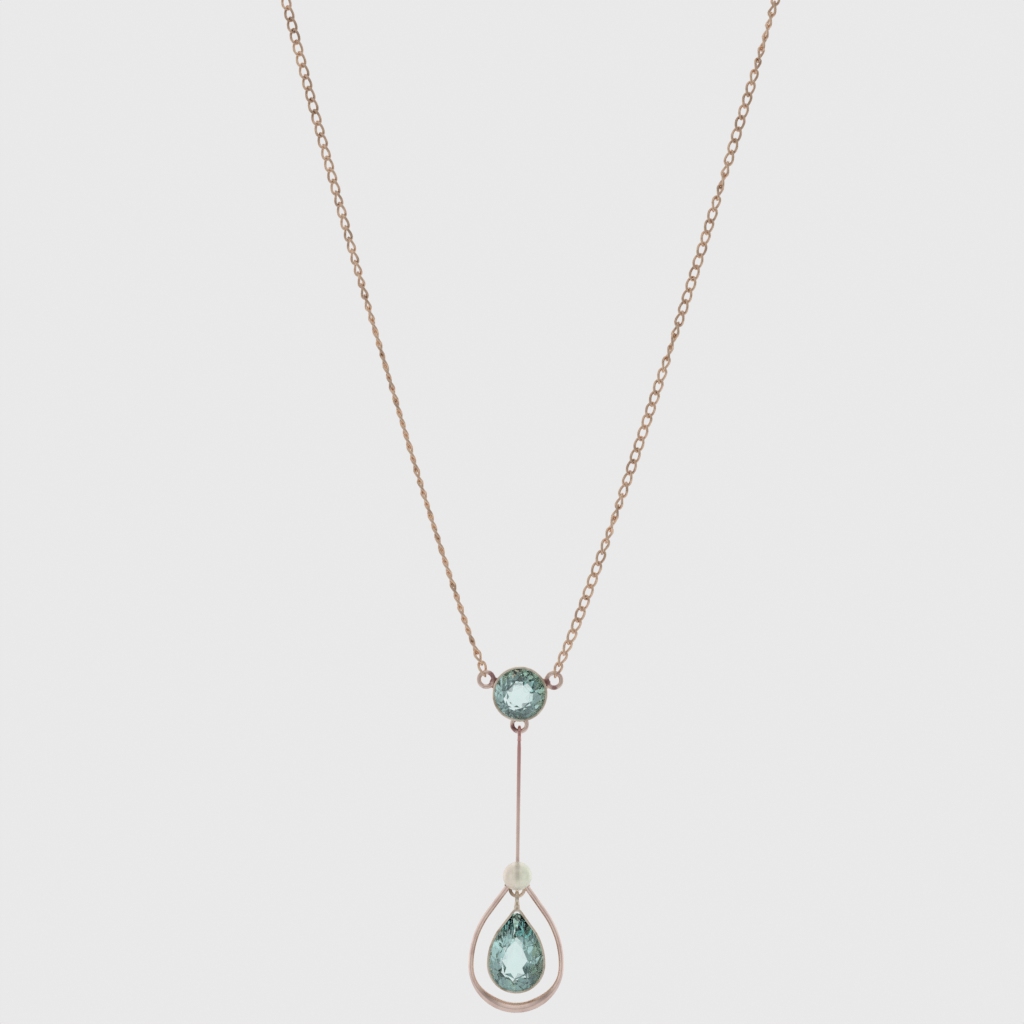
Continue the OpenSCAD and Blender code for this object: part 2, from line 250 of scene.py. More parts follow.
def new_object(name, points, faces, smooth=True):
    """A mesh object in the room from points in metres."""
    mesh = bpy.data.meshes.new(name)
    mesh.from_pydata([tuple(p) for p in points], [], [tuple(int(i) for i in f) for f in faces])
    mesh.update()
    mesh.shade_smooth() if smooth else mesh.shade_flat()
    made = bpy.data.objects.new(name, mesh)
    bpy.context.scene.collection.objects.link(made)
    return made


def make_floor():
    turns = np.linspace(0, 2 * math.pi, FLOOR_CORNERS, endpoint=False)
    level = cad_low.z - FLOOR_DROP_MM * MM
    rim = [(FLOOR_R_MM * MM * math.cos(t), FLOOR_R_MM * MM * math.sin(t), level) for t in turns]
    floor = new_object("floor", rim, [range(len(rim))], smooth=False)
    paper = bpy.data.materials.new("floor_paper")
    paper.use_nodes = True
    shader = paper.node_tree.nodes["Principled BSDF"]
    shader.inputs["Base Color"].default_value = (0.8, 0.8, 0.8, 1)
    shader.inputs["Roughness"].default_value = 0.9
    floor.data.materials.append(paper)
    floor.visible_transmission = False
    print("floor lies", FLOOR_DROP_MM, "mm below the pear frame")


make_floor()

# %% [markdown]
# ## Handling marks, shared by every metal
#
# Worn gold is never a perfect mirror. It has a haze of fine scratches in all directions, a slow
# unevenness from hand polishing, and dull film where a cloth can't reach. All metals here show the
# same effect in other amounts, so it is one node group with named inputs, placed in each material
# with its own values. It puts out a colour, a roughness and a height, and no shader.

# %% Node group: handling marks
# The film lies in patches: how many a metre, and the noise values where they start and are full
PATCHES_PER_METRE = 700.0
PATCH_START, PATCH_FULL = 0.42, 0.72
# Roughness that full film adds
FILM_ROUGHNESS = 0.35
# Two families of scratches: slant in degrees and how far the noise is drawn out
SCRATCH_SLANTS = ((35, 14), (-50, 11))


def handling_marks():
    group = bpy.data.node_groups.new("handling_marks", "ShaderNodeTree")
    for name, kind, value in (("Clean Color", "NodeSocketColor", (0.9, 0.6, 0.5, 1)),
                              ("Film Color", "NodeSocketColor", (0.5, 0.3, 0.2, 1)),
                              ("Film", "NodeSocketFloat", 0.3),
                              ("Polish", "NodeSocketFloat", 0.12),
                              ("Scratches", "NodeSocketFloat", 0.4),
                              ("Grain per mm", "NodeSocketFloat", 4.0)):
        socket = group.interface.new_socket(name, in_out="INPUT", socket_type=kind)
        socket.default_value = value
    for name, kind in (("Color", "NodeSocketColor"), ("Roughness", "NodeSocketFloat"),
                       ("Height", "NodeSocketFloat")):
        group.interface.new_socket(name, in_out="OUTPUT", socket_type=kind)
    link = group.links.new
    given = group.nodes.new("NodeGroupInput").outputs
    result = group.nodes.new("NodeGroupOutput").inputs
    place = new_node(group, "ShaderNodeTexCoord").outputs["Object"]
    per_metre = new_node(group, "ShaderNodeMath", operation="MULTIPLY")
    link(given["Grain per mm"], per_metre.inputs[0])
    per_metre.inputs[1].default_value = 1 / MM

    patches = new_node(group, "ShaderNodeTexNoise", Scale=PATCHES_PER_METRE, Detail=3.0)
    link(place, patches.inputs["Vector"])
    film = new_node(group, "ShaderNodeMapRange", interpolation_type="SMOOTHSTEP")
    film.inputs["From Min"].default_value = PATCH_START
    film.inputs["From Max"].default_value = PATCH_FULL
    link(patches.outputs["Fac"], film.inputs["Value"])
    amount = new_node(group, "ShaderNodeMath", operation="MULTIPLY")
    link(film.outputs["Result"], amount.inputs[0])
    link(given["Film"], amount.inputs[1])
    tint = new_node(group, "ShaderNodeMix", data_type="RGBA")
    link(amount.outputs[0], tint.inputs["Factor"])
    link(given["Clean Color"], tint.inputs["A"])
    link(given["Film Color"], tint.inputs["B"])
    link(tint.outputs["Result"], result["Color"])

    heights = []
    for turn, stretch in SCRATCH_SLANTS:
        slant = new_node(group, "ShaderNodeMapping")
        slant.inputs["Rotation"].default_value = (0.3, math.radians(turn), 0.2)
        slant.inputs["Scale"].default_value = (stretch, stretch, 1)
        link(place, slant.inputs["Vector"])
        lines = new_node(group, "ShaderNodeTexNoise", Detail=2.0)
        link(slant.outputs["Vector"], lines.inputs["Vector"])
        link(per_metre.outputs[0], lines.inputs["Scale"])
        heights.append(lines.outputs["Fac"])
    both = new_node(group, "ShaderNodeMath", operation="ADD")
    link(heights[0], both.inputs[0])
    link(heights[1], both.inputs[1])
    scaled = new_node(group, "ShaderNodeMath", operation="MULTIPLY")
    link(both.outputs[0], scaled.inputs[0])
    link(given["Scratches"], scaled.inputs[1])
    link(scaled.outputs[0], result["Height"])

    rough = new_node(group, "ShaderNodeMath", operation="MULTIPLY_ADD")
    link(amount.outputs[0], rough.inputs[0])
    rough.inputs[1].default_value = FILM_ROUGHNESS
    link(given["Polish"], rough.inputs[2])
    link(rough.outputs[0], result["Roughness"])
    return group


marks = handling_marks()
print("group", marks.name, "has", len(marks.nodes), "nodes")

# %% [markdown]
# ## The golds
#
# The bar and frame are rose gold, pink from its copper. Old work is seldom one even colour. The
# soldered rings carry a heavy purple-brown film, partly tarnish and partly painted shade for the
# shadows on them, the collets were made of a paler sheet, and the chain is a yellower gold. The bar
# itself is a darker, duller pink towards its top.
#
# All are the same shader with Metallic at 1: the base colour of a metal is the colour of its
# reflections. A Bump node turns the scratches into tiny tilts of the surface. So each gold is only
# a row of numbers, and one function makes them all.

# %% Materials: gold
GOLDS = {
    "rose_gold": dict(color=(0.90, 0.71, 0.63, 1), dusk=(0.65, 0.35, 0.33, 1),
                      film_color=(0.56, 0.33, 0.32, 1), film=0.3, polish=0.16, scratches=0.5,
                      grain=3.0),
    # The rings' heavy dark film is partly tarnish and partly painted shade for the shadows on them
    "ring_gold_and_painted_shade": dict(color=(0.90, 0.71, 0.62, 1), film_color=(0.50, 0.30, 0.29, 1), film=2.5,
                      polish=0.16, scratches=0.5, grain=3.0),
    "small_ring_gold": dict(color=(0.90, 0.72, 0.58, 1), film_color=(0.46, 0.34, 0.24, 1), film=1.2,
                            polish=0.16, scratches=0.5, grain=3.0),
    "collet_gold": dict(color=(0.88, 0.79, 0.66, 1), film_color=(0.42, 0.35, 0.24, 1), film=0.8,
                        polish=0.18, scratches=0.5, grain=3.0),
    "chain_gold": dict(color=(0.90, 0.66, 0.49, 1), film_color=(0.44, 0.30, 0.21, 1), film=0.6,
                       polish=0.18, scratches=0.4, grain=4.0),
}
SCRATCH_DEPTH_MM = 0.004
# The dusk starts and is full at these heights from the round stone's middle
DUSK_FROM, DUSK_TO = -16.5, -4.5


def dusky_at_top(tree, look):
    """The clean colour of the bar and frame, darker and duller towards the top of the bar."""
    place = new_node(tree, "ShaderNodeTexCoord").outputs["Object"]
    across = new_node(tree, "ShaderNodeSeparateXYZ")
    tree.links.new(place, across.inputs[0])
    rise = new_node(tree, "ShaderNodeMapRange", interpolation_type="SMOOTHSTEP")
    tree.links.new(across.outputs["Z"], rise.inputs["Value"])
    rise.inputs["From Min"].default_value = (STONE_Z + DUSK_FROM) * MM
    rise.inputs["From Max"].default_value = (STONE_Z + DUSK_TO) * MM
    tint = new_node(tree, "ShaderNodeMix", data_type="RGBA")
    tree.links.new(rise.outputs["Result"], tint.inputs["Factor"])
    tint.inputs["A"].default_value = look["color"]
    tint.inputs["B"].default_value = look["dusk"]
    return tint.outputs["Result"]


def gold(name):
    look = GOLDS[name]
    metal = bpy.data.materials.new(name)
    metal.use_nodes = True
    tree = metal.node_tree
    shader = tree.nodes["Principled BSDF"]
    shader.inputs["Metallic"].default_value = 1
    worn = new_node(tree, "ShaderNodeGroup")
    worn.node_tree = marks
    for socket, value in (("Clean Color", look["color"]), ("Film Color", look["film_color"]),
                          ("Film", look["film"]), ("Polish", look["polish"]),
                          ("Scratches", look["scratches"]), ("Grain per mm", look["grain"])):
        worn.inputs[socket].default_value = value
    if "dusk" in look:
        tree.links.new(dusky_at_top(tree, look), worn.inputs["Clean Color"])
    bump = new_node(tree, "ShaderNodeBump", Strength=0.5, Distance=SCRATCH_DEPTH_MM * MM)
    tree.links.new(worn.outputs["Height"], bump.inputs["Height"])
    tree.links.new(worn.outputs["Color"], shader.inputs["Base Color"])
    tree.links.new(worn.outputs["Roughness"], shader.inputs["Roughness"])
    tree.links.new(bump.outputs["Normal"], shader.inputs["Normal"])
    return metal


rose_gold, ring_gold_and_painted_shade, small_ring_gold, collet_gold, chain_gold = (gold(name) for name in GOLDS)
print("golds:", ", ".join(GOLDS))

# %% [markdown]
# ## The stones' material
#
# A cut stone is clear, with a faint blue-green body colour. Its dark and light patches aren't
# painted: they come from the cut, where some facets let the tent through and others mirror it.
# So the material is plain glass with the stone's refractive index, and an absorbing volume gives
# the body colour, deeper where light goes a longer way. Real facets are a touch uneven, and their
# faces hold a trace of polish haze.

# %% Material: blue-green stone
STONE_IOR = 1.57
STONE_TINT = (0.42, 0.84, 0.815, 1)
TINT_PER_METRE = 120.0
POLISH_HAZE = 0.03
# Zones of slightly other colour and height: how many a metre, their tint and their depth
ZONES_PER_METRE = 260.0
ZONE_TINT = (0.93, 0.98, 0.97, 1)
ZONE_DEPTH_MM = 0.003


def stone_glass():
    stone = bpy.data.materials.new("blue_green_stone")
    stone.use_nodes = True
    tree = stone.node_tree
    shader = tree.nodes["Principled BSDF"]
    shader.inputs["IOR"].default_value = STONE_IOR
    shader.inputs["Transmission Weight"].default_value = 1
    shader.inputs["Roughness"].default_value = POLISH_HAZE
    place = new_node(tree, "ShaderNodeTexCoord").outputs["Object"]
    zones = new_node(tree, "ShaderNodeTexNoise", Scale=ZONES_PER_METRE, Detail=1.0)
    tree.links.new(place, zones.inputs["Vector"])
    tint = new_node(tree, "ShaderNodeMix", data_type="RGBA")
    tint.inputs["A"].default_value = (1, 1, 1, 1)
    tint.inputs["B"].default_value = ZONE_TINT
    tree.links.new(zones.outputs["Fac"], tint.inputs["Factor"])
    tree.links.new(tint.outputs["Result"], shader.inputs["Base Color"])
    body = new_node(tree, "ShaderNodeVolumeAbsorption", Color=STONE_TINT, Density=TINT_PER_METRE)
    tree.links.new(body.outputs[0], tree.nodes["Material Output"].inputs["Volume"])
    wave = new_node(tree, "ShaderNodeBump", Strength=0.2, Distance=ZONE_DEPTH_MM * MM)
    tree.links.new(zones.outputs["Fac"], wave.inputs["Height"])
    tree.links.new(wave.outputs["Normal"], shader.inputs["Normal"])
    return stone


blue_green = stone_glass()
print("stone's refractive index:", STONE_IOR)

# %% [markdown]
# ## The pearl's material
#
# Nacre is thin layers over a bead. Part of the light comes back from inside and part is mirrored
# softly, so a pearl shows a dim blurred picture of its room. Metallic at a low value gives that
# mixture. Its layers shift the tint, here warm on the left and greenish on the right, so the colour
# follows the x coordinate, and a slow noise keeps the border between the two from being straight.
# A soft grey streak of painted shade down the pearl's upper middle stands for the bar behind it.

# %% Material: nacre
PEARL_DROP = 19.86
WARM, GREEN = (0.92, 0.82, 0.70, 1), (0.90, 0.92, 0.76, 1)
# The colour that the bar's painted shade multiplies into the nacre
BAR_SHADE_TINT = (0.70, 0.68, 0.66, 1)
PEARL_MIRROR = 0.35
# How wide the border between the two tints is, and how far the noise shifts it
TINT_BORDER = 2.0
# The slow drift between the tints and the fine grain of the surface, how many a metre
DRIFT_PER_METRE = 420.0
GRAIN_PER_METRE = 5000.0
# The bar's painted shade, from none to full: away from the middle line, and up from the pearl's
# middle
BAR_SHADE_ACROSS = (0.42, 0.08)
BAR_SHADE_UP = (-0.9, 0.3)


def painted_bar_shade(tree, place):
    """Painted shade of the bar: 1 along the middle of the pearl's upper half, 0 elsewhere."""
    from_middle = new_node(tree, "ShaderNodeMath", operation="ABSOLUTE")
    tree.links.new(place["X"], from_middle.inputs[0])
    masks = []
    for value, zero, (at_none, at_full) in ((from_middle.outputs[0], 0, BAR_SHADE_ACROSS),
                                            (place["Z"], STONE_Z - PEARL_DROP, BAR_SHADE_UP)):
        mask = new_node(tree, "ShaderNodeMapRange", interpolation_type="SMOOTHSTEP")
        tree.links.new(value, mask.inputs["Value"])
        mask.inputs["From Min"].default_value = (zero + at_none) * MM
        mask.inputs["From Max"].default_value = (zero + at_full) * MM
        masks.append(mask.outputs["Result"])
    both = new_node(tree, "ShaderNodeMath", operation="MULTIPLY")
    tree.links.new(masks[0], both.inputs[0])
    tree.links.new(masks[1], both.inputs[1])
    return both.outputs[0]


def nacre_material():
    nacre = bpy.data.materials.new("nacre")
    nacre.use_nodes = True
    tree = nacre.node_tree
    shader = tree.nodes["Principled BSDF"]
    shader.inputs["Metallic"].default_value = PEARL_MIRROR
    shader.inputs["Roughness"].default_value = 0.3
    shader.inputs["Coat Weight"].default_value = 0.4
    shader.inputs["Coat Roughness"].default_value = 0.2
    place = new_node(tree, "ShaderNodeTexCoord").outputs["Object"]
    drift = new_node(tree, "ShaderNodeTexNoise", Scale=DRIFT_PER_METRE, Detail=2.0)
    tree.links.new(place, drift.inputs["Vector"])
    across = new_node(tree, "ShaderNodeSeparateXYZ")
    tree.links.new(place, across.inputs[0])
    shift = new_node(tree, "ShaderNodeMath", operation="MULTIPLY_ADD")
    tree.links.new(drift.outputs["Fac"], shift.inputs[0])
    shift.inputs[1].default_value = TINT_BORDER * MM
    tree.links.new(across.outputs["X"], shift.inputs[2])
    side = new_node(tree, "ShaderNodeMapRange", interpolation_type="SMOOTHSTEP")
    tree.links.new(shift.outputs[0], side.inputs["Value"])
    side.inputs["From Min"].default_value = 0
    side.inputs["From Max"].default_value = TINT_BORDER * MM
    tint = new_node(tree, "ShaderNodeMix", data_type="RGBA")
    tree.links.new(side.outputs["Result"], tint.inputs["Factor"])
    tint.inputs["A"].default_value = WARM
    tint.inputs["B"].default_value = GREEN
    # Painted shade: the bar behind the pearl darkens its upper middle
    shade = new_node(tree, "ShaderNodeMix", data_type="RGBA", blend_type="MULTIPLY")
    tree.links.new(painted_bar_shade(tree, across.outputs), shade.inputs["Factor"])
    tree.links.new(tint.outputs["Result"], shade.inputs["A"])
    shade.inputs["B"].default_value = BAR_SHADE_TINT
    tree.links.new(shade.outputs["Result"], shader.inputs["Base Color"])
    grain = new_node(tree, "ShaderNodeTexNoise", Scale=GRAIN_PER_METRE, Detail=3.0)
    tree.links.new(place, grain.inputs["Vector"])
    bump = new_node(tree, "ShaderNodeBump", Strength=0.25, Distance=0.01 * MM)
    tree.links.new(grain.outputs["Fac"], bump.inputs["Height"])
    tree.links.new(bump.outputs["Normal"], shader.inputs["Normal"])
    print("nacre mirrors", PEARL_MIRROR, "of the light")
    return nacre


nacre = nacre_material()

# %% [markdown]
# ## Wire, made once
#
# Links, rings and eyes are all round wire bent along a line. One function sweeps a round section
# along any line: at each point it needs the line's direction and a steady side direction. The wire
# may swell where solder flows round it, so its radius can change along the way. The points go round
# so that every face looks outwards, which keeps the shading right in any program.

# %% Wire
def unit_rows(v):
    return v / np.linalg.norm(v, axis=-1, keepdims=True)


def wire_grid(line, side, radius, sides=10, closed=True):
    """Points [along, around] of a wire: line and side are [n, 3], radius is one value or n."""
    ahead = np.roll(line, -1, 0) - np.roll(line, 1, 0)
    if not closed:
        ahead[0], ahead[-1] = line[1] - line[0], line[-1] - line[-2]
    along = unit_rows(ahead)
    out = unit_rows(side - along * (side * along).sum(-1, keepdims=True))
    over = np.cross(out, along)
    turn = np.linspace(0, 2 * math.pi, sides, endpoint=False)
    ring = np.cos(turn)[None, :, None] * out[:, None] + np.sin(turn)[None, :, None] * over[:, None]
    return line[:, None] + np.broadcast_to(radius, len(line))[:, None, None] * ring


def grid_faces(rows, sides, closed=True, first=0):
    """Quads of a grid that closes around, and along too if closed."""
    i, k = np.meshgrid(np.arange(rows if closed else rows - 1), np.arange(sides), indexing="ij")
    j, m = (i + 1) % rows, (k + 1) % sides
    quads = np.stack([i * sides + k, j * sides + k, j * sides + m, i * sides + m], -1)
    return (quads.reshape(-1, 4) + first).tolist()


class Parts:
    """Collects the points and faces of one piece before it becomes an object."""

    def __init__(self):
        self.points, self.faces = [], []

    def add(self, points, faces):
        first = len(self.points)
        self.points += [tuple(p) for p in np.asarray(points).reshape(-1, 3)]
        self.faces += [[i + first for i in f] for f in faces]

    def add_grid(self, grid, closed=True):
        self.add(grid, grid_faces(grid.shape[0], grid.shape[1], closed))

    def build(self, name, material, body, nodes, smooth=True):
        made = new_object(name, hang(self.points), self.faces, smooth)
        return dress(made, material, body, nodes)


def dress(piece, material, body, nodes):
    """Gives a piece its material and says what it rides on and stands for."""
    piece.data.materials.append(material)
    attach(piece, body)
    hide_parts(*nodes)
    print(piece.name, "has", len(piece.data.polygons), "faces")
    return piece


# %% [markdown]
# ## The round collet
#
# The collet is a strip of sheet bent into a tapered cup. Its upper edge was pushed over the stone
# with a burnisher, so the rim is rounded and not quite even, and its lip reaches a little way over
# the stone. The section is drawn once, as pairs of inset and height, and turned about the middle. A
# lathe modifier would do, but turning the points ourselves lets the rim wander a little, as the
# hand left it.

# %% Collet section
COLLET_D = 6.06
# Insets of the seat's inner wall and of the lip over the stone
RIM = 0.23
LIP = 0.275
GIRDLE_Z = 0.9
# How far the sheet goes back behind each stone's girdle
COLLET_BACK = 2.3
PEAR_BACK = 2.6
# The rim is what lies above this height and further in than this inset
RIM_FOOT = 0.98
RIM_EDGE = 0.05
COLLET_SIDES = 160
ROUND_WANDER = 0.018


def collet_section(back):
    """[inset, height] down the outside, over the rim and down the inside."""
    foot = GIRDLE_Z - back
    return np.array([
        (0.30, foot - 0.02), (0.26, foot + 0.03), (0.16, foot + 0.6), (0.05, 0.3), (0.01, 0.72),
        (0.00, 0.94), (0.015, 1.05), (0.045, 1.13), (0.085, 1.18), (0.13, 1.2), (0.19, 1.19),
        (0.24, 1.165), (LIP, 1.13), (LIP + 0.004, 1.09), (LIP - 0.02, 1.05), (RIM, 1.01),
        (RIM - 0.06, 0.95), (RIM - 0.06, 0.76), (RIM + 0.05, 0.60), (RIM + 0.22, foot + 0.05),
        (RIM + 0.22, foot - 0.01), (0.40, foot - 0.04)])


def wander(turn, seed, size):
    """A slow uneven line round a rim: a few waves with fixed phases."""
    total = np.zeros_like(turn)
    for n in (2, 3, 5, 9, 14):
        total += np.sin(n * turn + seed * n * 1.7 + n * n) / math.sqrt(n)
    return size * total / 2


def rim_share(section):
    """0 on the wall to 1 at the rim's inner edge, one value a corner of the section."""
    return np.clip((section[:, 0] - RIM_EDGE) / (RIM - RIM_EDGE), 0, 1) * (section[:, 1] > RIM_FOOT)


def turned_collet(parts):
    section = collet_section(COLLET_BACK)
    turn = np.linspace(0, 2 * math.pi, COLLET_SIDES, endpoint=False)
    uneven = wander(turn, 1.0, ROUND_WANDER)[:, None] * rim_share(section)[None, :]
    r = COLLET_D / 2 - (section[None, :, 0] + uneven)
    grid = np.stack([r * np.cos(turn)[:, None], r * np.sin(turn)[:, None],
                     np.broadcast_to(section[None, :, 1], r.shape)], -1)
    parts.add_grid(grid)


# %% [markdown]
# ## Soldered rings
#
# Two ear rings and one lower ring are soldered to the collet's wall. Solder runs into the corner
# between ring and wall, so the wire looks thicker there. The ring's wire swells near the joint and
# sinks into the wall, and a smooth pool of solder fills the corner beside it. The rings are a piece
# of their own here, because they are darker than the collet: their heavy film is partly tarnish and
# partly painted shade for the shadows on them.

# %% Rings on the collet
RING_R = 0.8
RING_WIRE = 0.5
SOLDER_SWELL = 0.13
RING_STEPS = 72
RING_WANDER = 0.012
EAR_REACH = 4.02
EAR_ANGLE = 22
LOWER_DROP = 3.38
EAR = EAR_REACH * np.array([math.cos(math.radians(EAR_ANGLE)), math.sin(math.radians(EAR_ANGLE))])
# Solder pools: how far from the collet's middle, and half lengths out, along the wall and forward
EAR_POOL_REACH = 3.02
EAR_POOL = (0.26, 0.62, 0.27)
# The two lower pools, beside the lower ring: their place, half lengths and turn in degrees
LOWER_POOL_X, LOWER_POOL_Y = 0.66, -2.96
LOWER_POOL = (0.3, 0.24, 0.25)
LOWER_POOL_TURN = 12


def ring_grid(centre, r, wire, joint_deg=None, swell=0.0, spread=0.45, flat="z", sides=14, seed=0.0):
    """A wire ring: its wire swells towards joint_deg, where it is soldered."""
    turn = np.linspace(0, 2 * math.pi, RING_STEPS, endpoint=False)
    rr = r + wander(turn, seed, RING_WANDER)
    line = np.zeros((len(turn), 3))
    if flat == "z":
        line[:, 0], line[:, 1] = rr * np.cos(turn), rr * np.sin(turn)
        side = np.tile([0.0, 0.0, 1.0], (len(turn), 1))
    else:
        line[:, 2], line[:, 1] = rr * np.cos(turn), rr * np.sin(turn)
        side = np.tile([1.0, 0.0, 0.0], (len(turn), 1))
    radius = np.full(len(turn), wire / 2)
    if joint_deg is not None:
        away = (turn - math.radians(joint_deg) + math.pi) % (2 * math.pi) - math.pi
        radius = radius + swell * np.exp(-(away / spread) ** 2)
    return wire_grid(line + np.asarray(centre), side, radius, sides)


def add_solder(parts, centre, radii, turn_deg=0.0):
    """A smooth pool of solder: half lengths along its own x, y and z, turned in the sheet."""
    lat, lon = np.meshgrid(np.linspace(0, math.pi, 14), np.linspace(0, 2 * math.pi, 24, False),
                           indexing="ij")
    ball = np.stack([np.sin(lat) * np.cos(lon), np.sin(lat) * np.sin(lon), np.cos(lat)], -1)
    turn = np.array(Matrix.Rotation(math.radians(turn_deg), 3, "Z"))
    parts.add_grid(ball * radii @ turn.T + np.asarray(centre), closed=False)


def make_collet():
    parts = Parts()
    turned_collet(parts)
    return parts.build("round_collet", collet_gold, "necklace", ["collet"])


def make_collet_rings():
    parts = Parts()
    for side in (1, -1):
        foot = EAR * (side, 1) * EAR_POOL_REACH / EAR_REACH
        add_solder(parts, (foot[0], foot[1], 0), EAR_POOL, side * EAR_ANGLE)
        add_solder(parts, (side * LOWER_POOL_X, LOWER_POOL_Y, 0), LOWER_POOL,
                   side * LOWER_POOL_TURN)
    for side, joint in ((1, 180 + EAR_ANGLE), (-1, -EAR_ANGLE)):
        parts.add_grid(ring_grid((side * EAR[0], EAR[1], 0), RING_R, RING_WIRE, joint,
                                 SOLDER_SWELL, seed=side * 2.0))
    parts.add_grid(ring_grid((0, -LOWER_DROP, 0), RING_R, RING_WIRE, 90, SOLDER_SWELL, seed=5.0))
    return parts.build("collet_rings", ring_gold_and_painted_shade, "necklace", ["collet"])


make_collet()
make_collet_rings()

# %% [markdown]
# ## The curb chain
#
# A curb chain starts as a chain of plain oval links. It is then twisted and pressed, so that each
# link has a quarter turn in it and the chain lies flat. One link is an oval line whose cross
# direction turns by 90 degrees from one end to the other. Neighbouring links then meet at a right
# angle and interlock. Geometry Nodes could set links on a curve, but a link's own twist and the
# slow roll of the chain are easier to say in a few lines of array code, and the whole side stays
# one joined mesh.

# %% One link
WIRE = 0.3
PITCH = 1.32
LINK_HALF = (PITCH + WIRE) / 2 + 0.02
LINK_HALF_WIDTH = 0.445
TWIST_HALF = math.radians(45)
LINK_STEPS = 28
WIRE_SIDES = 8


def link_line():
    """Along, across and twist of one link's centre line."""
    t = np.linspace(0, 2 * math.pi, LINK_STEPS, endpoint=False) + math.pi / LINK_STEPS
    along = LINK_HALF * np.sign(np.cos(t)) * np.abs(np.cos(t)) ** 0.85
    across = LINK_HALF_WIDTH * np.sign(np.sin(t)) * np.abs(np.sin(t)) ** 0.9
    return along, across, TWIST_HALF * along / LINK_HALF


def link_grid(centre, ahead, broad, outward, roll):
    """One link: broad and outward span the plane across the chain."""
    along, across, twist = link_line()
    angle = (roll + twist)[:, None]
    flat = np.cos(angle) * broad + np.sin(angle) * outward
    level = -np.sin(angle) * broad + np.cos(angle) * outward
    line = centre + along[:, None] * ahead + across[:, None] * flat
    return wire_grid(line, level, WIRE / 2, WIRE_SIDES)


# %% [markdown]
# ## Where the chain runs
#
# The chain falls straight in front, bends over the collar bones and goes round to the nape. The
# route is a short list of points, the same as in the solids, joined by a smooth curve. The first
# links pass through the ear ring and the last one through the tag ring, so the line starts and
# ends inside those rings.

# %% Route
FRONT = [(6.2, 8), (10.3, 20), (14.1, 32), (17.8, 44), (21.3, 56), (24.7, 68)]
NECK = [(28, -47, -45), (31.5, -44.5, -33), (35.2, -39, -21), (38.8, -29.5, -11),
        (41.3, -16, -4.5), (42, 0, -1), (40, 16, 0), (34, 30.5, 0), (24, 41, 0), (12, 46.7, 0)]
LINK_LEAN = math.radians(18)
BACK_Y = 48.0
TAG_R = 0.9
TAG_WIRE = 0.4
# Room that the first and the last link keep inside their rings
EAR_PLAY = 0.04
TAG_PLAY = 0.02
# Straight runs at the two ends
EAR_RUN = 1.2
TAG_RUN = 5


def smooth_curve(points, steps):
    """Catmull-Rom curve through points."""
    p = np.asarray(points, float)
    a = np.vstack([p[:1], p[:-2]])
    b, c = p[:-1], p[1:]
    d = np.vstack([p[2:], p[-1:]])
    t = (np.arange(steps) / steps)[None, :, None]
    a, b, c, d = (q[:, None] for q in (a, b, c, d))
    line = (2 * b + (c - a) * t + (2 * a - 5 * b + 4 * c - d) * t ** 2
            + (3 * b - a - 3 * c + d) * t ** 3) / 2
    return np.vstack([line.reshape(-1, 3), p[-1:]])


def chain_route(side):
    """Room line in millimetres from inside the ear ring to inside the tag ring."""
    ring_low, ring_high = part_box("tag_ring_right")
    tag_x = (ring_low.x + ring_high.x) / 2 / MM
    first = RING_R - (RING_WIRE + WIRE) / 2 - EAR_PLAY + LINK_HALF - PITCH / 2
    lean = np.array([math.sin(LINK_LEAN), math.cos(LINK_LEAN)])
    start = [EAR + reach * lean for reach in (first, first + EAR_RUN)]
    last = tag_x + TAG_R - (TAG_WIRE + WIRE) / 2 - TAG_PLAY + LINK_HALF - PITCH / 2
    points = [(x, FRONT_Y, STONE_Z + z) for x, z in start]
    points += [(x, FRONT_Y, STONE_Z + z) for x, z in FRONT] + NECK
    points += [(tag_x + TAG_RUN, BACK_Y, 0), (last, BACK_Y, 0)]
    return smooth_curve(points, 40) * (side, 1, 1)


# %% [markdown]
# ## How the chain rolls
#
# A fine chain never hangs flat all the way: it rolls slowly, and looks broad in one place and
# narrow in the next. The rolls are set by a short table of height above the round stone and angle,
# where 0 shows the flat side to the viewer and 90 the edge. Round the neck it lies flat. A few
# degrees of seeded play make each link a little different.

# %% Roll
ROLL = {
    -1: [(2.6, 135), (3.9, 114), (5.2, 96), (6.4, 90), (39, 88), (43, 62), (51, 35), (60, 15),
         (72, 0), (84, 0)],
    1: [(3.2, -45), (4.5, -40), (6, -28), (8, -10), (11.5, 0), (14.5, -20), (19.1, -90),
        (24, -160), (29.5, -180), (34.5, -200), (39.2, -270), (43.3, -340), (48.5, -360),
        (53.7, -380), (57.2, -450), (60, -520), (63.8, -540), (67.5, -555), (69.5, -590),
        (71.5, -615), (74, -630), (77, -660), (86, -720)],
}
# The last links before the nape turn by this much, to go through the tag ring
NAPE_TURN = -45
NAPE_LINKS = 6
ROLL_PLAY = 5.0
ROLL_SEED = 7
# The table holds in front of this depth, and the neck is about this half width and half depth
FRONT_END_Y = -20
NECK_HALF_X, NECK_HALF_Y = 42, 48


def chain_rolls(side, centres):
    """Roll of each link in radians, from the ear ring to the nape."""
    count = len(centres)
    knots = np.array(ROLL[side], float)
    roll = np.interp(centres[:, 2] - STONE_Z, knots[:, 0], knots[:, 1])
    roll = np.where(centres[:, 1] < FRONT_END_Y, roll, knots[-1, 1])
    to_end = count - 1 - np.arange(count)
    roll = roll + NAPE_TURN * np.clip(1 - to_end / NAPE_LINKS, 0, 1)
    chance = np.random.default_rng(ROLL_SEED + side)
    free = (np.arange(count) > 1) & (to_end > 1)
    return np.radians(roll + chance.normal(0, ROLL_PLAY, count) * free)


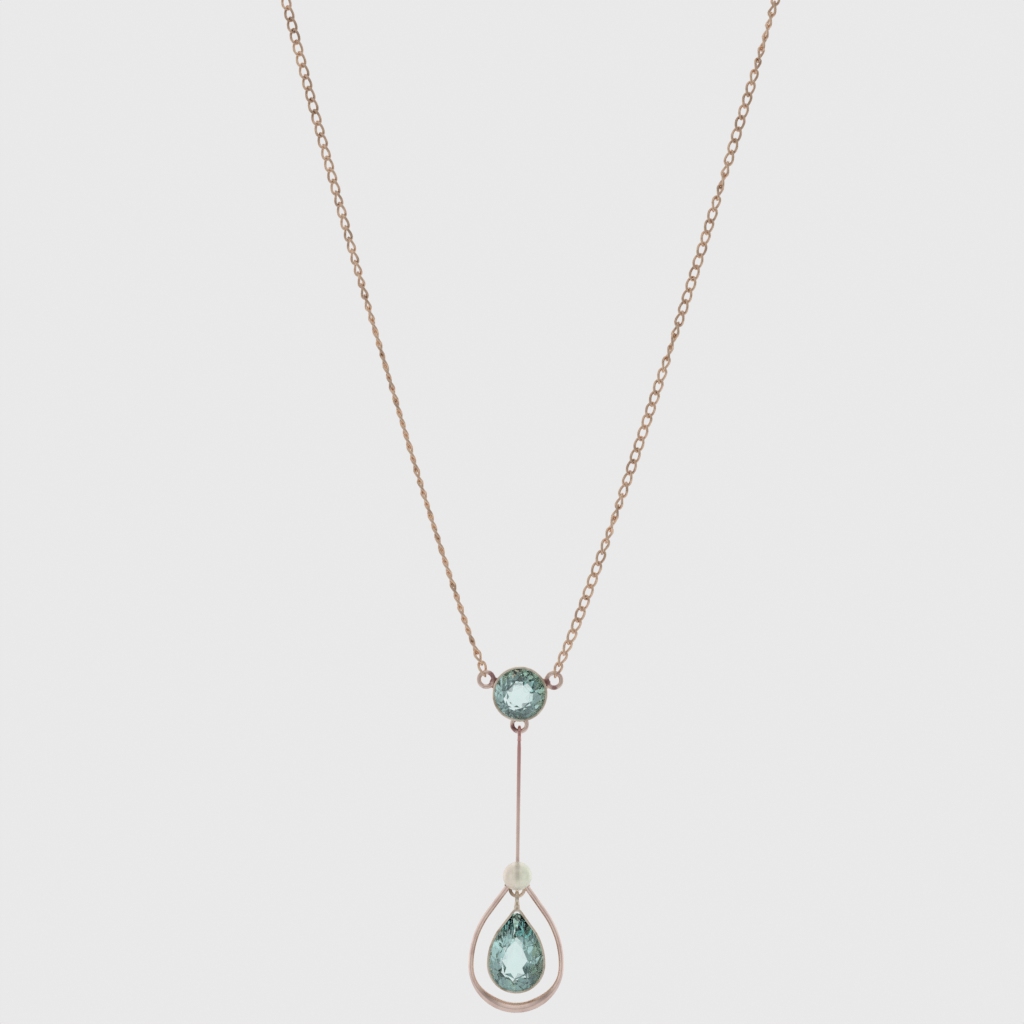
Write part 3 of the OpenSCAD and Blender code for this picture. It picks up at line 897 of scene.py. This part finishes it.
def make_chain(side, name):
    line = chain_route(side)
    step = np.linalg.norm(np.diff(line, axis=0), axis=1)
    run = np.concatenate([[0], np.cumsum(step)])
    count = int(round(run[-1] / PITCH))
    joints = np.stack([np.interp(np.linspace(0, run[-1], count + 1), run, line[:, k])
                       for k in range(3)], -1)
    centres = (joints[1:] + joints[:-1]) / 2
    ahead = unit_rows(joints[1:] - joints[:-1])
    away = np.stack([(centres[:, 0] / NECK_HALF_X) ** 3 / NECK_HALF_X,
                     (centres[:, 1] / NECK_HALF_Y) ** 3 / NECK_HALF_Y, np.zeros(count)], -1)
    outward = unit_rows(away - ahead * (away * ahead).sum(-1, keepdims=True))
    broad = np.cross(ahead, outward)
    rolls = chain_rolls(side, centres)
    links = [link_grid(*row) for row in zip(centres, ahead, broad, outward, rolls)]
    print(name, "side:", count, "links,", round(run[-1], 1), "mm")
    return links


def link_object(name, links, node):
    points = np.concatenate([g.reshape(-1, 3) for g in links]) * MM
    sides = links[0].shape[1]
    rows = links[0].shape[0]
    faces = []
    for i in range(len(links)):
        faces += grid_faces(rows, sides, first=i * rows * sides)
    made = new_object(name, points, faces)
    return dress(made, chain_gold, "necklace", [node])


for side, name in ((-1, "left"), (1, "right")):
    links = make_chain(side, name)
    link_object("end_link_" + name, links[:1], "link_front_" + name)
    link_object("curb_chain_" + name, links[1:], "chain_" + name)

# %% [markdown]
# ## Clasp and tag rings
#
# Behind the neck a bolt ring closes the loop. It is a bent tube with a small eye for the left
# chain, and a tag ring joins each chain end to it. None of it shows from the front.

# %% Clasp and tag rings
CLASP_D = 6.0
CLASP_TUBE = 1.05
EYE_R = 0.7
EYE_WIRE = 0.4


def flat_ring(centre, r, wire, tilt, sides=14, swell=0.0, joint=None, spread=0.4):
    """A ring in the room, in millimetres: tilt 0 lies level, 90 stands across y."""
    grid = ring_grid((0, 0, 0), r, wire, joint, swell, spread, sides=sides)
    turn = Matrix.Rotation(math.radians(tilt), 3, "X")
    return grid @ np.array(turn).T + np.asarray(centre)


def make_clasp():
    low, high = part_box("clasp")
    r = (CLASP_D - CLASP_TUBE) / 2
    eye_x = low.x / MM + EYE_R + EYE_WIRE / 2
    centre = high.x / MM - CLASP_D / 2
    parts = Parts()
    parts.add_grid(flat_ring((centre, BACK_Y, 0), r, CLASP_TUBE, 90, sides=20))
    parts.add_grid(flat_ring((eye_x, BACK_Y, 0), EYE_R, EYE_WIRE, 90, swell=0.1, joint=0))
    made = new_object("bolt_ring", np.array(parts.points) * MM, parts.faces)
    return dress(made, chain_gold, "necklace", ["clasp"])


def make_tag_ring(side):
    low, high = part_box("tag_ring_" + side)
    centre = (low + high) / 2 / MM
    parts = Parts()
    parts.add_grid(flat_ring(centre, TAG_R, TAG_WIRE, 0))
    made = new_object("jump_ring_" + side, np.array(parts.points) * MM, parts.faces)
    return dress(made, chain_gold, "necklace", ["tag_ring_" + side])


make_clasp()
for side in ("left", "right"):
    make_tag_ring(side)

# %% [markdown]
# ## Pear outlines
#
# The frame and the lower collet share one kind of outline: a round belly, two long flanks, straight
# shoulders and a small round tip. It is made of arcs, so a station on it is a point with its
# outward angle. Insetting along that angle gives every inner line without any distortion.

# %% Pear outline
FRAME_W = 10.5
FRAME_FLANK_R = 10.1
FRAME_SLOPE = 36
FRAME_TIP_R = 1.0
OUTLINE_STEPS = 64


def pear_outline(b, r, slope_deg, tip, steps):
    """Stations [x, y, outward angle] once round, from the foot, anticlockwise."""
    slope = math.radians(slope_deg)
    flank_x = b - r * (1 - math.cos(slope))
    sharp = r * math.sin(slope) + flank_x / math.tan(slope)
    tip_y = sharp - tip / math.sin(slope)
    low = np.linspace(-math.pi / 2, 0, steps, endpoint=False)
    flank = np.linspace(0, slope, steps // 2)
    cap = np.linspace(slope, math.pi / 2, max(4, steps // 4))
    end = np.array([b - r + r * math.cos(slope), r * math.sin(slope)])
    begin = np.array([tip * math.cos(slope), tip_y + tip * math.sin(slope)])
    share = np.linspace(0, 1, steps // 3)[1:-1, None]
    straight = end + (begin - end) * share
    half = np.vstack([
        np.stack([b * np.cos(low), b * np.sin(low), low], -1),
        np.stack([b - r + r * np.cos(flank), r * np.sin(flank), flank], -1),
        np.column_stack([straight, np.full(len(straight), slope)]),
        np.stack([tip * np.cos(cap), tip_y + tip * np.sin(cap), cap], -1)])
    other = half[-2:0:-1] * (-1, 1, -1) + (0, 0, math.pi)
    return np.vstack([half, other])


def inset(stations, d):
    """Points of the outline moved inwards by d, one value or one a station."""
    d = np.broadcast_to(d, len(stations))
    return np.stack([stations[:, 0] - d * np.cos(stations[:, 2]),
                     stations[:, 1] - d * np.sin(stations[:, 2])], -1)


frame_line = pear_outline(FRAME_W / 2, FRAME_FLANK_R, FRAME_SLOPE, FRAME_TIP_R, OUTLINE_STEPS)
print("the frame's outline has", len(frame_line), "stations")

# %% [markdown]
# ## The bar and the open pear frame
#
# Both are knife-edge wire: flat at the back, with two bevels that meet in a ridge towards the
# viewer. The two bevels mirror different parts of the room, which draws one lighter and one
# darker line along the whole piece. At the foot the frame's metal swells to a crescent. The ridge
# and the corners are slightly round, as polishing leaves them.

# %% Knife-edge frame
BLADE_DEPTH = 0.8
FRAME_METAL = 0.56
FOOT_METAL = 1.06
# The foot's swell starts and is full at these angles from straight down
FOOT_START = 78
FOOT_FULL = 22
FRAME_DROP = 29.87


def blade_section(w):
    """[inset, height] corners of the knife edge for metal of width w, a row a station."""
    w = np.atleast_1d(w)[:, None]
    half = BLADE_DEPTH / 2
    swell = np.clip((w - FRAME_METAL) / (FOOT_METAL - FRAME_METAL), 0, 1)
    share = np.array([0.06, 0.0, 0.0, 0.06, 0.20, 0.36, 0.42, 0.48, 0.68, 0.94, 1.0, 1.0, 0.94])
    z = np.array([-half, -half + 0.05, 0.02, 0.09, 0.21, 0.365, 0.39, 0.375, 0.31, 0.24, 0.19,
                  -half + 0.05, -half])
    # The inner bevel falls away more steeply at the foot
    lower = np.array([0, 0, 0, 0, 0, 0, 0, 0.01, 0.08, 0.15, 0.17, 0, 0])
    return w * share[None, :], z - swell * lower


def foot_swell(angle):
    """0 on the flanks to 1 at the foot, for outward angles."""
    off = np.degrees(np.abs((angle + math.pi / 2 + math.pi) % (2 * math.pi) - math.pi))
    t = np.clip((FOOT_START - off) / (FOOT_START - FOOT_FULL), 0, 1)
    return t * t * (3 - 2 * t)


def add_frame(parts):
    width = FRAME_METAL + (FOOT_METAL - FRAME_METAL) * foot_swell(frame_line[:, 2])
    d, z = blade_section(width)
    columns = [inset(frame_line, d[:, k]) for k in range(d.shape[1])]
    grid = np.stack([np.column_stack([c, z[:, k]]) for k, c in enumerate(columns)], 1)
    grid[..., 1] -= FRAME_DROP
    parts.add_grid(grid)


# %% [markdown]
# ## The bar and its eye
#
# The bar's eye is wire bent round the collet's lower ring and soldered shut on the bar. The bar is
# a straight loft of one rounded section, a little narrower at its neck under the eye.

# %% Bar and eye
BAR_W = 0.42
BAR_EYE_WIRE = 0.38
BAR_EYE_R = 0.72
# Room that an eye keeps inside the ring it hangs in
EYE_PLAY = 0.06
BAR_EYE_DROP = LOWER_DROP + RING_R - (RING_WIRE + BAR_EYE_WIRE) / 2 - EYE_PLAY + BAR_EYE_R
BAR_NECK = 0.9
BAR_NECK_WIDTH = 0.75
BAR_ROWS = 60


def add_bar(parts):
    parts.add_grid(ring_grid((0, -BAR_EYE_DROP, 0), BAR_EYE_R, BAR_EYE_WIRE, -90, 0.05,
                             flat="x", seed=3.0))
    top = -BAR_EYE_DROP - BAR_EYE_R + 0.05
    rows = np.linspace(top, -PEARL_DROP, BAR_ROWS)
    half = BLADE_DEPTH / 2
    x = np.array([-0.45, -0.5, -0.5, -0.42, -0.2, -0.05, 0.05, 0.2, 0.42, 0.5, 0.5, 0.45]) * BAR_W
    z = np.array([-half, -half + 0.04, 0.15, 0.20, 0.31, 0.39, 0.39, 0.31, 0.20, 0.15,
                  -half + 0.04, -half])
    neck = np.clip((rows - top + BAR_NECK) / BAR_NECK, 0, 1)
    width = 1 - (1 - BAR_NECK_WIDTH) * neck
    grid = np.stack([np.stack([x * w, np.full(len(x), y), z * w], -1)
                     for y, w in zip(rows, width)])
    parts.add_grid(grid, closed=False)


# %% [markdown]
# ## The pearl's cup
#
# At its lower end the bar meets the frame behind the pearl, which sits in a small cup on a peg. The
# cup is turned from a short section, and the bar, frame, eye and cup are one soldered piece.

# %% Cup, and the whole drop
CUP_SECTION = [(0.0, -0.4), (0.7, -0.4), (1.0, -0.34), (1.1, -0.2), (1.12, 0.5), (1.08, 0.56),
               (1.03, 0.54), (0.8, 0.42), (0.4, 0.26), (0.0, 0.22)]
CUP_SIDES = 64


def add_pearl_cup(parts):
    turn = -np.linspace(0, 2 * math.pi, CUP_SIDES, endpoint=False)
    grid = np.array([[(r * math.cos(t), r * math.sin(t) - PEARL_DROP, z) for t in turn]
                     for r, z in CUP_SECTION])
    parts.add_grid(grid, closed=False)


def make_drop():
    parts = Parts()
    add_frame(parts)
    add_bar(parts)
    add_pearl_cup(parts)
    return parts.build("bar_and_frame", rose_gold, "drop", ["drop_frame"])


make_drop()

# %% [markdown]
# ## The small ring
#
# Below the cup a small ring, soldered between the frame's shoulders, carries the pear. Two short
# webs of solder join it to the shoulders: each is a short piece of wire, thin in its middle and
# thicker where it meets the metal. The ring is a browner gold than the frame, so it is its own piece.

# %% Small ring
INNER_RING_R = 0.755
INNER_RING_WIRE = 0.38
INNER_RING_DROP = 21.54
# The webs are arcs about the pearl's middle, between these angles down from level
WEB_R = 1.68
WEB_FROM, WEB_TO = 66, 41
WEB_STEPS = 16
WEB_THIN = 0.15
WEB_SWELL = 0.08


def make_inner_ring():
    parts = Parts()
    centre = (0, -INNER_RING_DROP, 0)
    parts.add_grid(ring_grid(centre, INNER_RING_R, INNER_RING_WIRE, 90, 0.06, seed=4.0))
    turn = np.radians(np.linspace(WEB_FROM, WEB_TO, WEB_STEPS))
    radius = WEB_THIN + WEB_SWELL * np.linspace(-1, 1, WEB_STEPS) ** 2
    forward = np.tile([0, 0, 1.0], (WEB_STEPS, 1))
    for side in (-1, 1):
        line = np.stack([side * WEB_R * np.cos(turn), -PEARL_DROP - WEB_R * np.sin(turn),
                         np.zeros(WEB_STEPS)], -1)
        parts.add_grid(wire_grid(line, forward, radius, 12, closed=False), closed=False)
    return parts.build("inner_ring", small_ring_gold, "drop", ["drop_frame"])


make_inner_ring()

# %% [markdown]
# ## The pearl
#
# A real pearl is nearly round. A ball of rows and columns with a slow swell of about a hundredth of
# a millimetre is enough, because its shine shows every dent.

# %% Pearl
PEARL_FRONT = 1.83
PEARL_R = 1.575
PEARL_ROWS = 48
PEARL_COLUMNS = 96


def make_pearl():
    lat = np.linspace(0, math.pi, PEARL_ROWS)
    lon = np.linspace(0, 2 * math.pi, PEARL_COLUMNS, endpoint=False)
    la, lo = np.meshgrid(lat, lon, indexing="ij")
    r = PEARL_R * (1 + 0.008 * np.sin(2 * lo + 1) * np.sin(la) + 0.006 * np.cos(3 * la + 0.5))
    grid = np.stack([r * np.sin(la) * np.cos(lo), r * np.sin(la) * np.sin(lo) - PEARL_DROP,
                     PEARL_FRONT + r * np.cos(la)], -1)
    parts = Parts()
    parts.add_grid(grid, closed=False)
    return parts.build("pearl_bead", nacre, "drop", ["pearl"])


make_pearl()

# %% [markdown]
# ## The pear collet
#
# The lower collet is the same sheet and the same burnished rim on a pear outline. Its stone is
# blunt at the top and the collet pointed, so a little open corner is left above the stone. An eye
# of wire is soldered to the tip and hangs in the small ring.

# %% Pear collet
PEAR_W = 6.44
PEAR_FLANK_R = 6.65
PEAR_SLOPE = 37
PEAR_TIP_R = 0.6
PEAR_DROP = 29.62
PEAR_EYE_R = 0.62
PEAR_EYE_WIRE = 0.45
PEAR_EYE_DROP = (INNER_RING_DROP + INNER_RING_R - (INNER_RING_WIRE + PEAR_EYE_WIRE) / 2
                 - EYE_PLAY + PEAR_EYE_R)
PEAR_WANDER = 0.015
# The solder bead's top and foot from the collet's tip, and its radius with its bulge
BEAD_TOP, BEAD_FOOT = 0.34, -0.42
BEAD_R, BEAD_BULGE = 0.25, 0.10
BEAD_STEPS = 12


def add_tip_bead(parts, tip_y):
    """The bead of solder between the eye and the collet's tip."""
    lift = np.linspace(BEAD_TOP, BEAD_FOOT, BEAD_STEPS)
    reach = BEAD_R + BEAD_BULGE * np.sin(np.linspace(0.3, math.pi - 0.2, BEAD_STEPS))
    line = np.stack([0 * lift, tip_y + lift, 0 * lift], -1)
    forward = np.tile([0, 0, 1.0], (BEAD_STEPS, 1))
    parts.add_grid(wire_grid(line, forward, reach, 16, closed=False), closed=False)


def make_pear_collet():
    parts = Parts()
    stations = pear_outline(PEAR_W / 2, PEAR_FLANK_R, PEAR_SLOPE, PEAR_TIP_R, OUTLINE_STEPS)
    section = collet_section(PEAR_BACK)
    turn = np.linspace(0, 2 * math.pi, len(stations), endpoint=False)
    uneven = wander(turn, 2.0, PEAR_WANDER)
    columns = [inset(stations, s[0] + uneven * n) for s, n in zip(section, rim_share(section))]
    grid = np.stack([np.column_stack([c, np.full(len(c), s[1])])
                     for c, s in zip(columns, section)], 1)
    grid[..., 1] -= PEAR_DROP
    parts.add_grid(grid)
    parts.add_grid(ring_grid((0, -PEAR_EYE_DROP, 0), PEAR_EYE_R, PEAR_EYE_WIRE, -90, 0.08,
                             flat="x", seed=6.0))
    add_tip_bead(parts, stations[:, 1].max() - PEAR_DROP)
    return parts.build("pear_collet_wall", collet_gold, "pear", ["pear_collet"])


make_pear_collet()

# %% [markdown]
# ## The stones
#
# The solids hold each stone's true cut, flat facets with sharp edges, so they stay. They only
# get the glass material here.

# %% Stones
def make_stones():
    for node in ("round_stone", "pear_stone"):
        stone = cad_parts[node]
        stone.data.materials.clear()
        stone.data.materials.append(blue_green)
        print(node, "has", len(stone.data.polygons), "facets")


make_stones()
